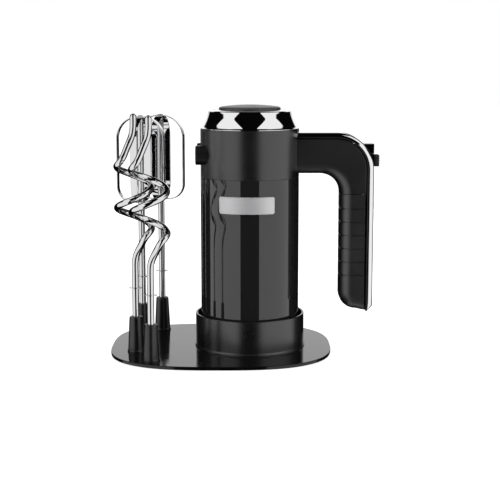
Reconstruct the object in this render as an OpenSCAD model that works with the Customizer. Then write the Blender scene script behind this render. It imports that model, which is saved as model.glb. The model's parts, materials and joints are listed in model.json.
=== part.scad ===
// Hand mixer standing nose-up in a storage stand, with two strip beaters and two dough hooks.
// The origin is on the table, at the middle of the whole object's footprint. +Z is up.
// Most mixer parts are drawn around the mixer's own upright axis and moved there by at_mixer().

/* [Stand] */
// Length of the base plate, left to right
plate_l = 198; // [196:1:204]
// Depth of the base plate, front to back
plate_w = 172; // [170:1:178]
// Thickness of the base plate
plate_t = 2.8; // [2.6:0.2:3.6]
// Thickness of the anti-slip pad under the plate
pad_t = 0.8; // [0.6:0.1:1.2]
// Distance from the plate's middle to the cradle's axis
cradle_offset = 26; // [25:0.5:27]
// Outer radius of the cradle's wall
cradle_r = 49; // [48.6:0.2:50]
// Thickness of the cradle's wall
cradle_wall = 1.8; // [1.4:0.2:2]
// Height of the cradle's rim above the table
cradle_top = 34; // [30:1:38]
// Height of a peg's top above the table
peg_top = 35.5; // [32:0.5:38]
// Radius of a peg at its foot
peg_foot_r = 7.9; // [7.4:0.1:8.4]
// Radius of a peg near its top
peg_tip_r = 5.9; // [5.6:0.1:6.4]

/* [Mixer body] */
// Outer radius of the mixer's barrel
body_r = 44; // [43.6:0.1:44.4]
// Height of the joint between the gloss sleeve and the satin housing
seam_z = 157.3; // [157:0.1:157.6]
// Height of the satin housing's top edge
housing_top = 200; // [199.8:0.1:200.2]
// Thickness of the barrel's wall
wall = 2.2; // [2:0.1:2.4]
// Height of the two spindles' axes
spindle_z = 177.4; // [177.2:0.1:177.6]
// Distance between the two spindles' axes
spindle_gap = 35; // [34.9:0.1:35.1]

/* [Handle] */
// Distance from the mixer's axis to the back of the handle
handle_back = 110.3; // [110:0.1:110.6]
// Distance from the mixer's axis to the finger side of the handle
handle_front = 80; // [79.8:0.1:80.2]
// Height of the top of the handle's arm
arm_top = 196.7; // [196.5:0.1:196.9]
// Height of the underside of the handle's arm
arm_bottom = 160.5; // [160.3:0.1:160.7]
// Height of the handle's lowest corner
handle_foot = 36.3; // [36:0.1:37]
// Width of the handle, front to back
handle_w = 28; // [27.6:0.1:29]
// Radius of the handle's outer corner
corner_r = 33; // [32.5:0.1:33.5]
// Radius of the handle's inner corner
finger_r = 17.5; // [17:0.1:18]
// Thickness of the bright trim along the arm
trim_arm = 3.4; // [3.2:0.1:3.6]
// Thickness of the bright trim along the back
trim_back = 4.9; // [4.7:0.1:5.1]

/* [Attachments] */
// Radius of the attachments' shanks
rod_r = 3; // [2.9:0.05:3]
// Width of a strip beater
beater_w = 45.4; // [44:0.2:46]
// Height of the lowest point of a beater's loops
beater_low = 130; // [128:0.5:132]
// Height of the highest point of a beater's loops
beater_high = 209.5; // [208:0.5:211]
// Width of the steel strip in a beater
strip_w = 6.5; // [6:0.1:7]
// Thickness of the steel strip in a beater
strip_t = 1; // [0.8:0.1:1.2]
// Turn of both beaters about their own axes
beater_turn = -12; // [-14:1:-10]
// Radius of the dough hook's coil, to the middle of its rod
hook_r = 14.8; // [14:0.1:15]
// Rise of the dough hook's coil in one turn
hook_pitch = 36; // [35:0.5:37]

/* [Hidden] */
$fn = 64;

gap = 0.05;                            // running clearance, on the radius
plate_top = pad_t + plate_t;
cradle_floor = plate_top + 2.4;
knob_proud = 5.2;
left_end = -cradle_offset - plate_l / 2;
right_end = handle_back + knob_proud;
mixer_x = -(left_end + right_end) / 2;
plate_x = mixer_x - cradle_offset;
spindle_y = spindle_gap / 2;

peg_floor = 9.6;                       // floor of the pegs' bores
shank_low = 10;                        // lower end of every shank
washer_z = 61;
front_right = [mixer_x - 85, -63];
front_left = [mixer_x - 101, -29];
back_left = [mixer_x - 100, 29];
back_right = [mixer_x - 84, 60];

shell_top = trim_arm + 1.2;            // the shell lies inside the trim and the spine
shell_back = trim_back + 1.2;
shell_wall = 2.2;
half_w = handle_w / 2;
grip_top = 142.5;
grip_t = 2;                            // thickness of the soft grip
arm_screw_z = 167.5;                   // screws that hold the handle to the housing
ejector_z = 182.5;                     // height of the ejector's push rod
turbo_z = 127;
turbo_h = 17.6;
gland_x = 96;                          // the cord gland in the handle's foot
pod_w = 15;                            // width of the pod and the eject button
pod_low = 150;
pod_split = 178;                       // joint between the pod and the eject button
pod_top = 186.7;
knob_low = 166.4;
knob_high = 176.9;
knob_mid = (knob_low + knob_high) / 2;
slider_travel = 12;
eject_travel = 4;
turbo_travel = 1.5;
turbo_rear = 101.6;                    // inner end of the turbo button's plunger
turbo_spring_h = 4.4;

stator_low = 72;
stator_h = 34;
stator_r = 31;
stator_bore_r = 17.6;
core_r = 17;                           // armature core
coil_y = 24;                           // middle of the field coils' slots
post_circle = 27;                      // circle of the posts that hold the stator
lower_bracket_z = 33;
upper_bracket_z = 132;
box_x = 22;                            // half size of the gearbox along the spindles
box_y = 34;
box_low = 160;
box_top = 192.6;
wheel_teeth = 25;
gear_module = 1;
worm_r = 5;                            // pitch radius of the worm
wheel_r = gear_module * wheel_teeth / 2;
lead = PI * gear_module;
tooth_half = 0.575;                    // half a tooth's thickness on the pitch line
flank = tan(20);
addendum = 0.9;
dedendum = 1.1;
shaft_r = 4;                           // motor shaft
worm_seat_r = 2.4;                     // the same shaft where the worm sits on it
socket_r = 6;                          // outside of a drive socket
socket_mouth = -46.5;
socket_depth = 52;                     // depth that a shank goes in

coil_low = 114;                        // the dough hook's coil
coil_high = coil_low + 1.5 * hook_pitch;
blend_low = 34;                        // rise of the bend below the coil
blend_high = 40;                       // rise of the longer bend above it
hook_tip = 214.5;

// ---------- shared shapes ----------

module at_mixer() {
    translate([mixer_x, 0, 0]) children();
}

module along_x(x, y, z) {
    translate([x, y, z]) rotate([0, 90, 0]) children();
}

module tube(r_out, r_in, h) {
    difference() {
        cylinder(r = r_out, h = h);
        translate([0, 0, -1]) cylinder(r = r_in, h = h + 2);
    }
}

module block(low, high) {
    translate(low) cube(high - low);
}

function arc(cx, cy, r, a0, a1, n) = [
    for (k = [0:n]) let (a = a0 + (a1 - a0) * k / n) [cx + r * cos(a), cy + r * sin(a)]
];

function unit(v) = v / norm(v);

// Directions along a path, and one side direction carried along it without twisting
function tangents(p) = [
    for (i = [0:len(p) - 1]) unit(p[min(i + 1, len(p) - 1)] - p[max(i - 1, 0)])
];
function square_to(v, t) = unit(v - (v * t) * t);
function carried(t, start) = [
    for (i = 0, u = square_to(start, t[0]);
         i < len(t);
         i = i + 1, u = square_to(u, t[min(i, len(t) - 1)])) u
];

// A round rod along a path; radii gives its radius at each point
module rod_along(path, radii, sides) {
    t = tangents(path);
    u = carried(t, [1, 0, 0]);
    last = len(path) - 1;
    points = [
        for (i = [0:last], k = [0:sides - 1])
            let (a = 360 * k / sides)
            path[i] + radii[i] * (u[i] * cos(a) + cross(t[i], u[i]) * sin(a))
    ];
    walls = [
        for (i = [0:last - 1], k = [0:sides - 1])
            let (n = (k + 1) % sides)
            [i * sides + k, (i + 1) * sides + k, (i + 1) * sides + n, i * sides + n]
    ];
    start_cap = [for (k = [0:sides - 1]) k];
    end_cap = [for (k = [sides - 1:-1:0]) last * sides + k];
    polyhedron(points, concat(walls, [start_cap, end_cap]));
}

// A coil spring along +Z from the origin
module coil_spring(r, wire, length, turns) {
    steps = turns * 10;
    path = [
        for (i = [0:steps])
            let (a = 360 * i / 10)
            [r * cos(a), r * sin(a), wire + (length - 2 * wire) * i / steps]
    ];
    rod_along(path, [for (p = path) wire], 6);
}

// ---------- stand ----------

// The plate's outline is squarer at the pegs' end than at the cradle's end
function plate_outline(inset) = [
    for (k = [0:95])
        let (a = 360 * k / 96, power = cos(a) < 0 ? 2 / 2.9 : 2 / 2.8)
        [
            sign(cos(a)) * (plate_l / 2 - inset) * pow(abs(cos(a)), power),
            sign(sin(a)) * (plate_w / 2 - inset) * pow(abs(sin(a)), power)
        ]
];

module plate_slice(z, h, inset) {
    translate([plate_x, 0, z]) linear_extrude(h) polygon(plate_outline(inset));
}

module screw_places() {
    for (a = [45:90:315])
        translate([mixer_x + 33 * cos(a), 33 * sin(a), 0]) children();
    for (p = [front_right, front_left, back_left, back_right])
        translate([p[0], p[1], 0]) children();
}

module base_plate() {
    edge = 0.5;
    color([0.06, 0.06, 0.07]) difference() {
        union() {
            plate_slice(pad_t, plate_t - edge, 0);
            plate_slice(plate_top - edge, edge, edge);
        }
        screw_places() {
            translate([0, 0, pad_t - 1]) cylinder(r = 1.7, h = plate_t + 2);
            translate([0, 0, pad_t - 0.01]) cylinder(r1 = 3.4, r2 = 1.7, h = 1.7);
        }
    }
}

module anti_slip_pad() {
    color([0.12, 0.12, 0.12]) plate_slice(0, pad_t, 2.5);
}

module cradle_collar() {
    inner = cradle_r - cradle_wall;
    color([0.07, 0.07, 0.08]) at_mixer() difference() {
        rotate_extrude($fn = 96) polygon([
            [0, plate_top], [cradle_r + 0.6, plate_top], [cradle_r + 0.6, plate_top + 1.2],
            [cradle_r, plate_top + 2], [cradle_r, cradle_top - 0.5], [cradle_r - 0.5, cradle_top],
            [inner + 0.4, cradle_top], [inner, cradle_top - 0.4], [inner, cradle_floor + 1],
            [inner - 1, cradle_floor], [0, cradle_floor]
        ]);
        for (a = [45:90:315])
            translate([33 * cos(a), 33 * sin(a), plate_top - 1]) cylinder(r = 1.6, h = 5);
    }
}

module stand_screws() {
    low = pad_t + 0.05;
    color("silver") screw_places() {
        translate([0, 0, low]) cylinder(r1 = 3.2, r2 = 1.5, h = 1.6);
        translate([0, 0, low]) cylinder(r = 1.5, h = cradle_floor - 0.3 - low);
    }
}

module peg(place) {
    color([0.06, 0.06, 0.07]) translate([place[0], place[1], 0]) difference() {
        rotate_extrude() polygon([
            [0, plate_top], [peg_foot_r, plate_top], [peg_foot_r, plate_top + 1.6],
            [peg_foot_r - 0.5, plate_top + 3], [peg_tip_r, peg_top - 1.5],
            [peg_tip_r - 1.2, peg_top], [0, peg_top]
        ]);
        translate([0, 0, peg_floor]) cylinder(r = rod_r + gap, h = peg_top);
        translate([0, 0, plate_top - 1]) cylinder(r = 1.55, h = cradle_floor - plate_top + 1.6);
    }
}

module peg_front_right() { peg(front_right); }
module peg_front_left() { peg(front_left); }
module peg_back_left() { peg(back_left); }
module peg_back_right() { peg(back_right); }

// ---------- barrel ----------

module bottom_cover() {
    slots = 14;
    color([0.07, 0.07, 0.08]) at_mixer() difference() {
        union() {
            translate([0, 0, cradle_floor]) cylinder(r = body_r - 0.4, h = 0.6);
            translate([0, 0, cradle_floor + 0.6]) cylinder(r = body_r, h = 2);
            translate([0, 0, cradle_floor + 2.6]) tube(body_r - wall - 0.1, body_r - wall - 2.3, 5.4);
        }
        for (k = [0:slots - 1]) rotate([0, 0, 360 * k / slots])
            block([14, -1.3, cradle_floor - 1], [34, 1.3, cradle_floor + 4]);
    }
}

module lower_sleeve() {
    low = cradle_floor + 2.6;
    color([0.02, 0.02, 0.025]) at_mixer() translate([0, 0, low])
        tube(body_r, body_r - wall, seam_z - low, $fn = 128);
}

module upper_housing() {
    inner = body_r - 2.5;
    color([0.05, 0.05, 0.055]) at_mixer() difference() {
        union() {
            translate([0, 0, seam_z]) cylinder(r = body_r, h = housing_top - seam_z, $fn = 128);
            translate([0, 0, seam_z - 7]) cylinder(r = body_r - wall - 0.1, h = 8);
        }
        translate([0, 0, seam_z + 2]) cylinder(r = inner, h = housing_top);
        translate([0, 0, seam_z - 8]) cylinder(r = inner - 2.3, h = 20);
        for (s = [-1, 1])
            along_x(-body_r - 1, s * spindle_y, spindle_z) cylinder(r = 8.52, h = 20);
        along_x(30, 0, ejector_z) cylinder(r = 3.3, h = 20);
        for (s = [-1, 1])
            along_x(30, s * 7, arm_screw_z) cylinder(r = 1.8, h = 20);
    }
}

module nose_cap() {
    flare = arc(73.2, 223, 37.4, 215.4, 191.9, 8);
    color([0.85, 0.85, 0.87]) at_mixer() rotate_extrude($fn = 128) polygon(concat(
        [[41.3, 200], [43.8, 200], [43.8, 200.5]],
        flare,
        [
            [35.7, 215.8], [27.7, 217], [27.7, 214.4], [33.6, 213], [34.6, 209],
            [36.6, 205], [39.1, 201.4], [39.1, 196.2], [41.3, 196.2]
        ]
    ));
}

module cap_disc() {
    rim = 27.5;
    crown_r = 196;
    crown = arc(0, 221 - crown_r, crown_r, 82.5, 90, 8);
    color([0.36, 0.36, 0.37]) at_mixer() rotate_extrude($fn = 96) polygon(concat(
        [[0, 214.6], [rim, 214.6], [rim, 218.1], [26.9, 218.9]], crown
    ));
}

module badge_plate() {
    low = 128.1;
    color([0.78, 0.78, 0.8]) at_mixer() rotate([0, 0, -126.3])
        rotate_extrude(angle = 65, $fn = 128)
            translate([body_r, low]) square([0.9, 14.9]);
}

module socket_collars() {
    color([0.05, 0.05, 0.055]) at_mixer() for (s = [-1, 1])
        along_x(-47.8, s * spindle_y, spindle_z) difference() {
            union() {
                cylinder(r = 7.9, h = 0.7);
                translate([0, 0, 0.7]) cylinder(r = 8.5, h = 14.3);
            }
            translate([0, 0, -1]) cylinder(r = socket_r + 0.6, h = 20);
        }
}

// ---------- handle ----------

// The handle's side outline, drawn in by `top` along the arm's top, by `back` along the back
// and by `inner` along the finger side. It runs from the arm's root over the top and back.
function handle_outline(top, back, inner) =
    let (
        r_out = corner_r - (top + back) / 2,
        r_foot = 15 - inner,
        back_x = handle_back - back
    )
    concat(
        [[36, arm_top - top]],
        arc(back_x - r_out, arm_top - top - r_out, r_out, 90, 0, 12),
        [[back_x, 41.4 + inner], [min(back_x - 0.4, 105.9), handle_foot + inner]],
        arc(handle_front + 15, 53.2, r_foot, 270, 180, 6),
        arc(handle_front - finger_r, arm_bottom - finger_r, finger_r + inner, 0, 90, 8),
        [[36, arm_bottom + inner]]
    );

// The outline as a slab of the given half width. Its edges are rounded over `across` of the
// width, by `outer` along the top and back and by `deep` on the finger side.
module handle_slab(top, back, inner, half, across, outer, deep) {
    steps = 4;
    layers = [
        for (s = [-1, 1], k = [0:steps])
            let (a = 90 / steps * (s < 0 ? steps - k : k))
            [s * (half - across + across * sin(a)), 1 - cos(a)]
    ];
    n = len(handle_outline(0, 0, 0));
    points = [
        for (l = layers)
            for (p = handle_outline(top + outer * l[1], back + outer * l[1], inner + deep * l[1]))
                [p[0], l[0], p[1]]
    ];
    walls = [
        for (j = [0:len(layers) - 2], i = [0:n - 1])
            let (m = (i + 1) % n)
            [j * n + i, (j + 1) * n + i, (j + 1) * n + m, j * n + m]
    ];
    front = [for (i = [0:n - 1]) i];
    rear = [for (i = [n - 1:-1:0]) (len(layers) - 1) * n + i];
    polyhedron(points, concat(walls, [front, rear]));
}

module body_space() {
    translate([0, 0, 100]) cylinder(r = body_r + 0.03, h = 120, $fn = 96);
}

// Openings through the handle's back for the pod, the eject button and the turbo button
module back_openings() {
    block([93.8, -pod_w / 2 - 0.2, pod_low - 0.2], [120, pod_w / 2 + 0.2, pod_top + 0.3]);
    block([98, -5.7, turbo_z - turbo_h / 2 - 0.3], [120, 5.7, turbo_z + turbo_h / 2 + 0.3]);
}

module handle_shell() {
    color([0.06, 0.06, 0.065]) at_mixer() difference() {
        union() {
            intersection() {
                handle_slab(shell_top, shell_back, 0, half_w, 9, 1.5, 12);
                block([30, -20, grip_top], [115, 20, 200]);
            }
            handle_slab(shell_top, shell_back, grip_t, half_w - grip_t, 8, 1.5, 11);
        }
        difference() {
            handle_slab(shell_top - 3, shell_back - 3, grip_t + shell_wall,
                half_w - grip_t - shell_wall, 7, 1, 9.5);
            block([30, -20, 150], [52, 20, 200]);
            block([89.5, -20, 176.6], [91.5, 20, 200]);
        }
        body_space();
        along_x(40, 0, ejector_z) cylinder(r = 3.1, h = 55);
        for (s = [-1, 1])
            along_x(40, s * 7, arm_screw_z) cylinder(r = 1.6, h = 11);
        translate([gland_x, 0, 30]) cylinder(r = 5.6, h = 14);
    }
}

module grip_sleeve() {
    ribs = [for (k = [0:5]) 130.1 - 12 * k];
    color([0.1, 0.1, 0.105]) at_mixer() difference() {
        union() {
            intersection() {
                handle_slab(shell_top, shell_back, 0, half_w, 9, 1.5, 12);
                block([70, -20, 30], [102.6, 20, grip_top - 0.2]);
            }
            for (z = ribs)
                block([handle_front - 0.5, -8, z], [handle_front + 1, 8, z + 1.6]);
        }
        handle_slab(shell_top, shell_back, grip_t, half_w - grip_t, 8, 1.5, 11);
        for (z = ribs) {
            block([70, -20, z - 1.2], [handle_front + 0.6, 20, z]);
            for (s = [-1, 1])
                translate([0, s * (half_w + 4.4), z - 0.6])
                    cube([220, 10, 1.2], center = true);
        }
        translate([gland_x, 0, 30]) cylinder(r = 5.6, h = 14);
    }
}

module handle_spine() {
    color([0.04, 0.04, 0.045]) at_mixer() difference() {
        handle_slab(trim_arm, trim_back, 0, half_w - 0.6, 1, 0.6, 0.6);
        handle_slab(shell_top, shell_back, -40, half_w + 5, 1, 0, 0);
        block([30, -20, 0], [103, 20, arm_bottom]);
        body_space();
        back_openings();
    }
}

module handle_trim() {
    color([0.88, 0.88, 0.9]) at_mixer() difference() {
        handle_slab(0, 0, 0, half_w, 3, 3, 3);
        handle_slab(trim_arm, trim_back, -40, half_w + 5, 1, 0, 0);
        block([30, -20, 0], [103, 20, arm_bottom]);
        body_space();
        back_openings();
    }
}

// A gloss wedge that squares off the handle's corner and guides the slider
module switch_pod() {
    face = handle_back + 0.2;
    color([0.01, 0.01, 0.012]) at_mixer() difference() {
        union() {
            block([103.2, -pod_w / 2, pod_low], [face, pod_w / 2, pod_split - 0.15]);
            block([102, -pod_w / 2 - 1.7, pod_low - 3], [103.4, pod_w / 2 + 1.7, pod_low + 10]);
        }
        block([100, -2.2, knob_mid - slider_travel - 2.2], [120, 2.2, knob_mid + 4.2]);
        block([100, -5, knob_mid - slider_travel - 4.4], [105.6, 5, knob_mid + 5.2]);
    }
}

module eject_button() {
    color([0.01, 0.01, 0.012]) at_mixer() {
        block([98.4, -pod_w / 2 + 0.1, pod_split + 0.1],
            [handle_back + 0.2, pod_w / 2 - 0.1, pod_top]);
    }
}

module ejector_fork() {
    bar_x = box_x + eject_travel + 0.4;
    color([0.75, 0.75, 0.77]) at_mixer() {
        along_x(bar_x, 0, ejector_z) cylinder(r = 2.5, h = 98.4 - bar_x);
        block([bar_x, -spindle_y - 4, spindle_z - 3.5], [bar_x + 3, spindle_y + 4, ejector_z + 3]);
        for (s = [-1, 1])
            along_x(16, s * spindle_y, spindle_z) cylinder(r = 2.4, h = bar_x - 15);
    }
}

module speed_slider() {
    back = handle_back + knob_proud;
    pitch = (knob_high - knob_low) / 4;
    color([0.16, 0.16, 0.17]) at_mixer() {
        difference() {
            block([handle_back + 0.3, -6, knob_low], [back, 6, knob_high]);
            for (k = [1:3])
                block([back - 0.7, -8, knob_low + pitch * k - 0.5],
                    [back + 1, 8, knob_low + pitch * k + 0.5]);
        }
        block([101.2, -1.9, knob_mid - 1.9], [handle_back + 1, 1.9, knob_mid + 3.9]);
        block([102.2, -4.6, knob_mid - 3.9], [105.2, 4.6, knob_mid + 4.9]);
    }
}

module turbo_button() {
    face = handle_back + 0.6;
    low = turbo_z - turbo_h / 2;
    color([0.12, 0.12, 0.13]) at_mixer() {
        difference() {
            block([103.6, -5.5, low], [face, 5.5, low + turbo_h]);
            block([face - 0.8, -8, turbo_z - 0.5], [face + 1, 8, turbo_z + 0.5]);
        }
        along_x(turbo_rear, 0, turbo_z) cylinder(r = 1.5, h = 3);
    }
}

module eject_spring() {
    color("silver") at_mixer() along_x(91.6, 0, ejector_z) coil_spring(3.6, 0.4, 6.7, 4);
}

module turbo_spring() {
    color("silver") at_mixer() along_x(99.1, 0, turbo_z)
        coil_spring(2.4, 0.3, turbo_spring_h, 4);
}

module speed_switch() {
    color([0.2, 0.25, 0.3]) at_mixer() block([88, -7, 152], [101, 7, 176.4]);
}

module control_board() {
    color([0.1, 0.35, 0.2]) at_mixer() {
        block([88, -7, 66], [89.6, 7, 114]);
        block([89.6, -6, 72], [95, 2, 84]);
        along_x(89.6, 2.5, 98) cylinder(r = 4, h = 8);
    }
}

module turbo_microswitch() {
    face = turbo_rear - turbo_travel - 1.1;
    color([0.15, 0.15, 0.16]) at_mixer()
        block([face - 6, -4, turbo_z - 8], [face, 4, turbo_z + 8]);
}

module cord_gland() {
    color([0.1, 0.1, 0.1]) at_mixer() translate([gland_x, 0, 38.8]) difference() {
        union() {
            cylinder(r = 5.5, h = 13.2);
            translate([0, 0, 5.6]) cylinder(r = 6.5, h = 2);
        }
        translate([0, 0, -1]) cylinder(r = 3.5, h = 20);
    }
}

// ---------- gearbox ----------

module gearbox_housing() {
    color([0.72, 0.73, 0.75]) at_mixer() difference() {
        block([-box_x, -box_y, box_low], [box_x, box_y, box_top]);
        block([-box_x + 2.5, -box_y + 2.5, box_low + 2.5], [box_x - 2.5, box_y - 2.5, 200]);
        translate([0, 0, box_low - 1]) cylinder(r = shaft_r + 0.6, h = 6);
        for (s = [-1, 1])
            along_x(-30, s * spindle_y, spindle_z) cylinder(r = socket_r + gap, h = 60);
    }
}

module gearbox_cover() {
    color([0.66, 0.67, 0.7]) at_mixer() difference() {
        block([-box_x, -box_y, box_top], [box_x, box_y, box_top + 2.5]);
        translate([0, 0, box_top - 1]) cylinder(r = worm_seat_r + gap, h = 6);
    }
}

// A helical thread of trapezoid section; its crest passes z = 0 at the angle -90
module worm_thread(length) {
    steps = 20;
    turns = length / lead;
    crest = tooth_half - addendum * flank;
    base = tooth_half + dedendum * flank;
    profile = [
        [worm_r - dedendum - 0.3, base], [worm_r + addendum, crest],
        [worm_r + addendum, -crest], [worm_r - dedendum - 0.3, -base]
    ];
    last = floor(turns * steps);
    points = [
        for (i = [0:last], p = profile)
            let (a = -90 + 360 * (i - last / 2) / steps)
            [p[0] * cos(a), p[0] * sin(a), p[1] + lead * (i - last / 2) / steps]
    ];
    walls = [
        for (i = [0:last - 1], k = [0:3])
            let (m = (k + 1) % 4)
            [i * 4 + k, (i + 1) * 4 + k, (i + 1) * 4 + m, i * 4 + m]
    ];
    polyhedron(points, concat(walls, [[0, 1, 2, 3], [for (k = [3:-1:0]) last * 4 + k]]));
}

module worm() {
    color([0.8, 0.8, 0.82]) at_mixer() difference() {
        union() {
            translate([0, 0, spindle_z]) worm_thread(13);
            translate([0, 0, spindle_z - 9]) cylinder(r = worm_r - dedendum, h = 18);
        }
        translate([0, 0, spindle_z - 10]) cylinder(r = worm_seat_r + 0.02, h = 20);
    }
}

// A wheel about +X; its first tooth is turned by `phase` from +Y
module worm_wheel(phase) {
    width = 6;
    tip = tooth_half - addendum * flank;
    root = tooth_half + dedendum * flank;
    slant = atan(lead / (2 * PI * worm_r));
    difference() {
        union() {
            along_x(-width / 2, 0, 0) cylinder(r = wheel_r - dedendum, h = width, $fn = 100);
            along_x(-5.5, 0, 0) cylinder(r = 8.5, h = 11);
            for (k = [0:wheel_teeth - 1])
                rotate([phase + 360 * k / wheel_teeth, 0, 0]) rotate([0, -slant, 0])
                    translate([-width / 2, 0, 0]) rotate([90, 0, 90]) linear_extrude(width)
                        polygon([
                            [wheel_r - dedendum - 1, -root], [wheel_r - dedendum, -root],
                            [wheel_r + addendum, -tip], [wheel_r + addendum, tip],
                            [wheel_r - dedendum, root], [wheel_r - dedendum - 1, root]
                        ]);
        }
        along_x(-10, 0, 0) cylinder(r = socket_r + 0.02, h = 20);
    }
}

module worm_wheel_front() {
    color([0.92, 0.9, 0.82]) at_mixer() translate([0, -spindle_y, spindle_z])
        worm_wheel(180 / wheel_teeth);
}

module worm_wheel_back() {
    color([0.92, 0.9, 0.82]) at_mixer() translate([0, spindle_y, spindle_z])
        worm_wheel(180);
}

module drive_socket(y) {
    color([0.78, 0.78, 0.8]) at_mixer() along_x(socket_mouth, y, spindle_z)
        difference() {
            cylinder(r = socket_r, h = box_x - socket_mouth - 0.3);
            translate([0, 0, -1]) cylinder(r = rod_r + gap, h = socket_depth + 1);
            translate([0, 0, 1]) cylinder(r = 2.6, h = 80);
        }
}

module drive_socket_front() { drive_socket(-spindle_y); }
module drive_socket_back() { drive_socket(spindle_y); }

// ---------- motor ----------

// A bracket with a bearing seat and four posts that reach the stator
module bracket_at(z, seat_up) {
    post_low = seat_up ? z + 1 : stator_low + stator_h;
    post_high = seat_up ? stator_low : z + 1;
    difference() {
        union() {
            translate([0, 0, z]) cylinder(r = body_r - wall - 0.2, h = 3);
            translate([0, 0, seat_up ? z : z - 6]) cylinder(r = 12.5, h = 9);
            for (a = [30, 150, 210, 330])
                translate([post_circle * cos(a), post_circle * sin(a), post_low])
                    cylinder(r = 3, h = post_high - post_low);
        }
        translate([0, 0, z - 8]) cylinder(r = 6, h = 20);
        translate([0, 0, seat_up ? z + 1.6 : z - 8]) cylinder(r = 9.52, h = 9.4);
        for (a = [0:60:300])
            translate([post_circle * cos(a), post_circle * sin(a), z - 1]) cylinder(r = 6.5, h = 6);
    }
}

module lower_motor_bracket() {
    color([0.6, 0.6, 0.62]) at_mixer() bracket_at(lower_bracket_z, true);
}

module upper_motor_bracket() {
    color([0.6, 0.6, 0.62]) at_mixer() bracket_at(upper_bracket_z, false);
}

module motor_bearings() {
    color([0.8, 0.8, 0.82]) at_mixer() for (z = [lower_bracket_z + 1.7, upper_bracket_z - 5.8])
        translate([0, 0, z]) tube(9.5, shaft_r + gap, 7);
}

module motor_stator() {
    color([0.45, 0.45, 0.48]) at_mixer() translate([0, 0, stator_low]) difference() {
        cylinder(r = stator_r, h = stator_h);
        translate([0, 0, -1]) cylinder(r = stator_bore_r, h = stator_h + 2);
        for (s = [-1, 1])
            block([-10.5, s * coil_y - 4, -1], [10.5, s * coil_y + 4, stator_h + 1]);
    }
}

module field_coils() {
    low = stator_low - 3.5;
    high = stator_low + stator_h + 0.5;
    color([0.72, 0.4, 0.18]) at_mixer() for (s = [-1, 1]) {
        block([-10, s * coil_y - 3.5, low], [10, s * coil_y + 3.5, high + 3]);
        for (z = [low, high])
            block([-14, s * coil_y - 5, z], [14, s * coil_y + 5, z + 3]);
    }
}

module brush_holders() {
    color([0.75, 0.6, 0.25]) at_mixer() for (s = [-1, 1]) {
        difference() {
            block([s * 21 - 8, -4, 48], [s * 21 + 8, 4, 57]);
            block([s * 21 - 10, -2.6, 50], [s * 21 + 10, 2.6, 55.2]);
        }
        block([s * 16 - 2, -3, 36], [s * 16 + 2, 3, 48]);
    }
}

module carbon_brushes() {
    color([0.15, 0.15, 0.15]) at_mixer() for (s = [-1, 1])
        block([s * 18.8 - 7.7, -2.5, 50.1], [s * 18.8 + 7.7, 2.5, 55.1]);
}

module armature_shaft() {
    color([0.8, 0.8, 0.82]) at_mixer() {
        translate([0, 0, 17]) cylinder(r = shaft_r, h = 149);
        translate([0, 0, 166]) cylinder(r = worm_seat_r, h = 28.5);
    }
}

module armature_core() {
    slots = 12;
    color([0.5, 0.42, 0.35]) at_mixer() translate([0, 0, stator_low]) difference() {
        cylinder(r = core_r, h = stator_h);
        translate([0, 0, -1]) cylinder(r = shaft_r + 0.02, h = stator_h + 2);
        for (k = [0:slots - 1]) rotate([0, 0, 360 * k / slots])
            block([core_r - 4, -1, -1], [core_r + 1, 1, stator_h + 1]);
    }
}

module commutator() {
    bars = 12;
    color([0.8, 0.5, 0.25]) at_mixer() translate([0, 0, 46]) difference() {
        cylinder(r = 11, h = 14);
        translate([0, 0, -1]) cylinder(r = shaft_r + 0.02, h = 20);
        for (k = [0:bars - 1]) rotate([0, 0, 360 * (k + 0.5) / bars])
            block([10.2, -0.3, -1], [12, 0.3, 20]);
    }
}

module cooling_fan() {
    blades = 14;
    color([0.85, 0.85, 0.82]) at_mixer() translate([0, 0, 18]) difference() {
        union() {
            cylinder(r = 8, h = 12);
            translate([0, 0, 10.4]) cylinder(r = 34, h = 1.6);
            for (k = [0:blades - 1]) rotate([0, 0, 360 * k / blades])
                block([7, -0.7, 2], [33.5, 0.7, 11]);
        }
        translate([0, 0, -1]) cylinder(r = shaft_r + 0.02, h = 20);
    }
}

module housing_screws() {
    color("silver") at_mixer() for (s = [-1, 1])
        along_x(38.2, s * 7, arm_screw_z) {
            cylinder(r = 3.2, h = 2);
            cylinder(r = 1.55, h = 12);
        }
}

// ---------- attachments ----------

function loop_outline(inset, low, high) =
    let (
        half = beater_w / 2 - inset,
        r_top = 21 - inset,
        r_low = 15 - inset,
        z0 = low + inset,
        z1 = high - inset
    )
    concat(
        arc(half - r_low, z0 + r_low, r_low, 270, 360, 8),
        arc(half - r_top, z1 - r_top, r_top, 0, 90, 10),
        arc(-half + r_top, z1 - r_top, r_top, 90, 180, 10),
        arc(-half + r_low, z0 + r_low, r_low, 180, 270, 8)
    );

module at_peg(place, turn) {
    translate([place[0], place[1], 0]) rotate([0, 0, turn]) children();
}

module strip_loop(low, high) {
    difference() {
        rotate([90, 0, 0]) linear_extrude(strip_w, center = true) difference() {
            polygon(loop_outline(0, low, high));
            polygon(loop_outline(strip_t, low, high));
        }
        translate([0, 0, low - 1]) cylinder(r = rod_r + 0.02, h = strip_t + 2);
        translate([0, 0, high - strip_t - 1]) cylinder(r = 1.82, h = strip_t + 2);
    }
}

module beater_shaft(place) {
    inner_top = beater_high - 2 * strip_t;
    color([0.85, 0.85, 0.87]) at_peg(place, 0) {
        translate([0, 0, shank_low]) cylinder(r = rod_r - 0.5, h = 0.8);
        translate([0, 0, shank_low + 0.8]) cylinder(r = rod_r, h = inner_top - shank_low - 0.8);
        translate([0, 0, inner_top - 1]) cylinder(r = 1.8, h = 2 * strip_t + 1);
        translate([0, 0, beater_high]) cylinder(r1 = 2.8, r2 = 2, h = 0.8);
        translate([0, 0, washer_z]) cylinder(r = 5.6, h = 0.8);
    }
}

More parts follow.
